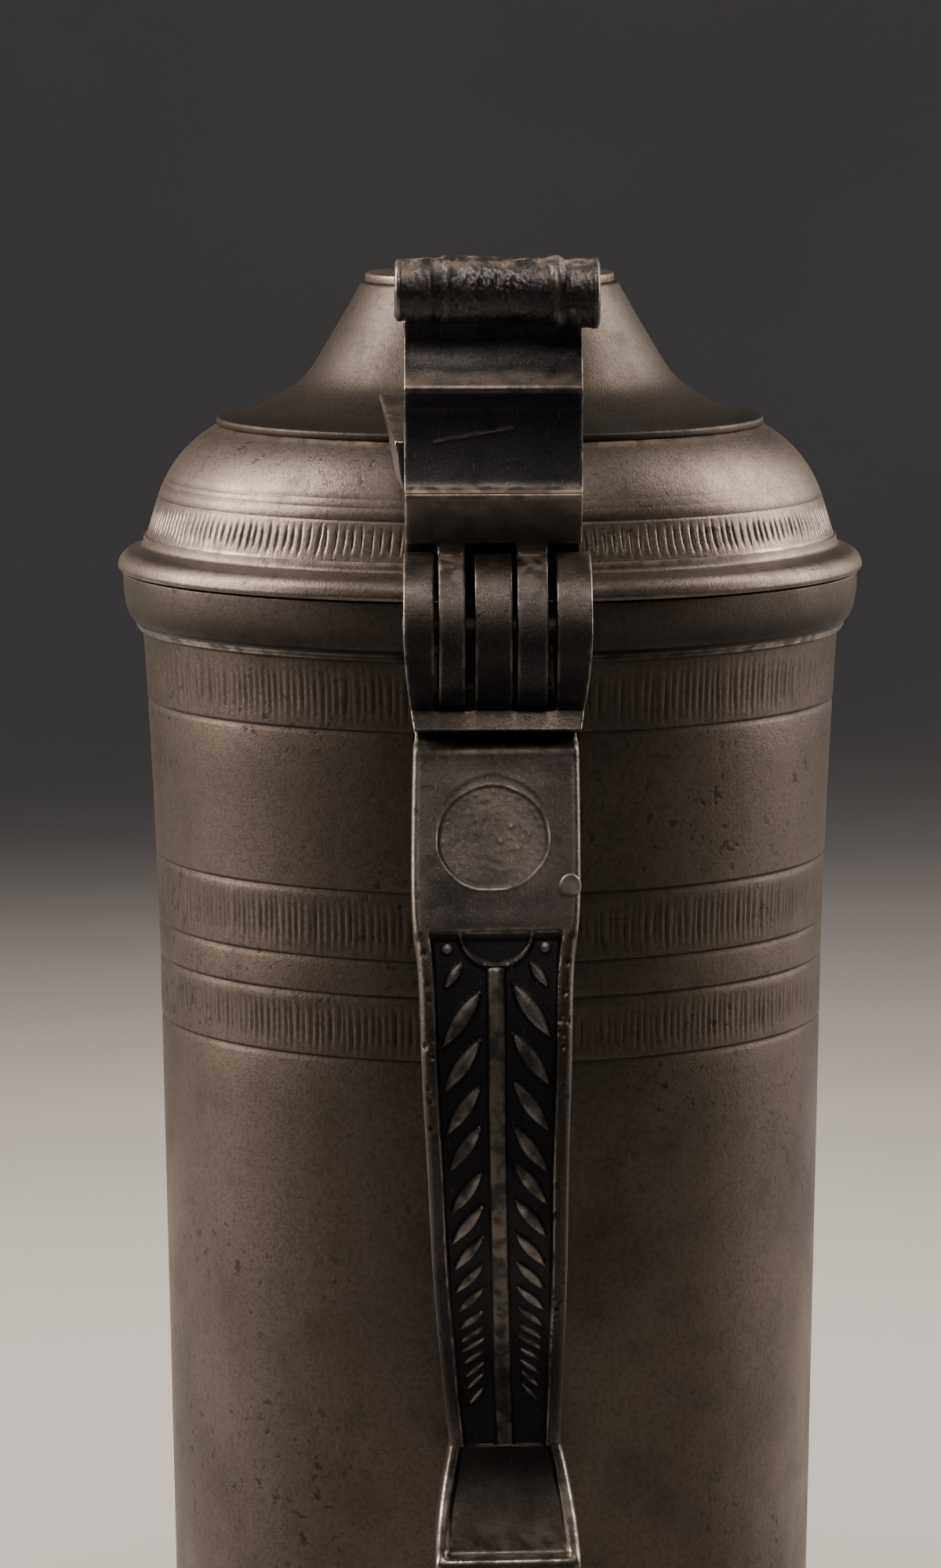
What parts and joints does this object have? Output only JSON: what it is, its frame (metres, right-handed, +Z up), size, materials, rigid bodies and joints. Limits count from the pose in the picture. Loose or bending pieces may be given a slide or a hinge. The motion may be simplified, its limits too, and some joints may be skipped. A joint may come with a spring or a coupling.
{
  "type": "lidded flagon",
  "caption": "Spoutless pewter flagon with a tapered drum, strap handle and a domed lid that swings back on a pin when the thumbpiece is pressed.",
  "frame": {"origin": "on the drum's axis, in the plane that the foot ring stands on", "axes": "+Z up along the drum's axis, -Y towards the handle, +X along the hinge pin"},
  "size_m": [0.1118, 0.1435, 0.2404],
  "materials": {
    "vessel_pewter": "satin",
    "handle_pewter": "satin",
    "lid_pewter": "satin",
    "thumbpiece_pewter": "satin",
    "pin_iron": "matte",
    "solder": "satin"
  },
  "bodies": {
    "vessel": {"drum": "vessel_pewter", "mouth_collar": "vessel_pewter", "foot_ring": "vessel_pewter", "base_plate": "vessel_pewter", "handle_strap": "handle_pewter", "handle_terminal": "handle_pewter", "handle_hinge_block": "handle_pewter", "upper_handle_lug": "handle_pewter", "lower_handle_lug": "handle_pewter", "hinge_pin": "pin_iron", "solder_drop": "solder"},
    "lid": {"lid_rim": "lid_pewter", "lid_bezel": "lid_pewter", "lid_shoulder": "lid_pewter", "lid_bell": "lid_pewter", "lid_cap_disc": "lid_pewter", "lid_hinge_block": "thumbpiece_pewter", "thumbpiece_plate": "thumbpiece_pewter", "thumb_roll": "thumbpiece_pewter", "thumbpiece_buttress": "thumbpiece_pewter"}
  },
  "joints": [
    {"name": "lid_hinge", "type": "hinge", "parent": "vessel", "child": "lid", "pos_m": [0, -0.0675, 0.1876], "axis": [1, 0, 0], "range_deg": [0, 135]}
  ]
}
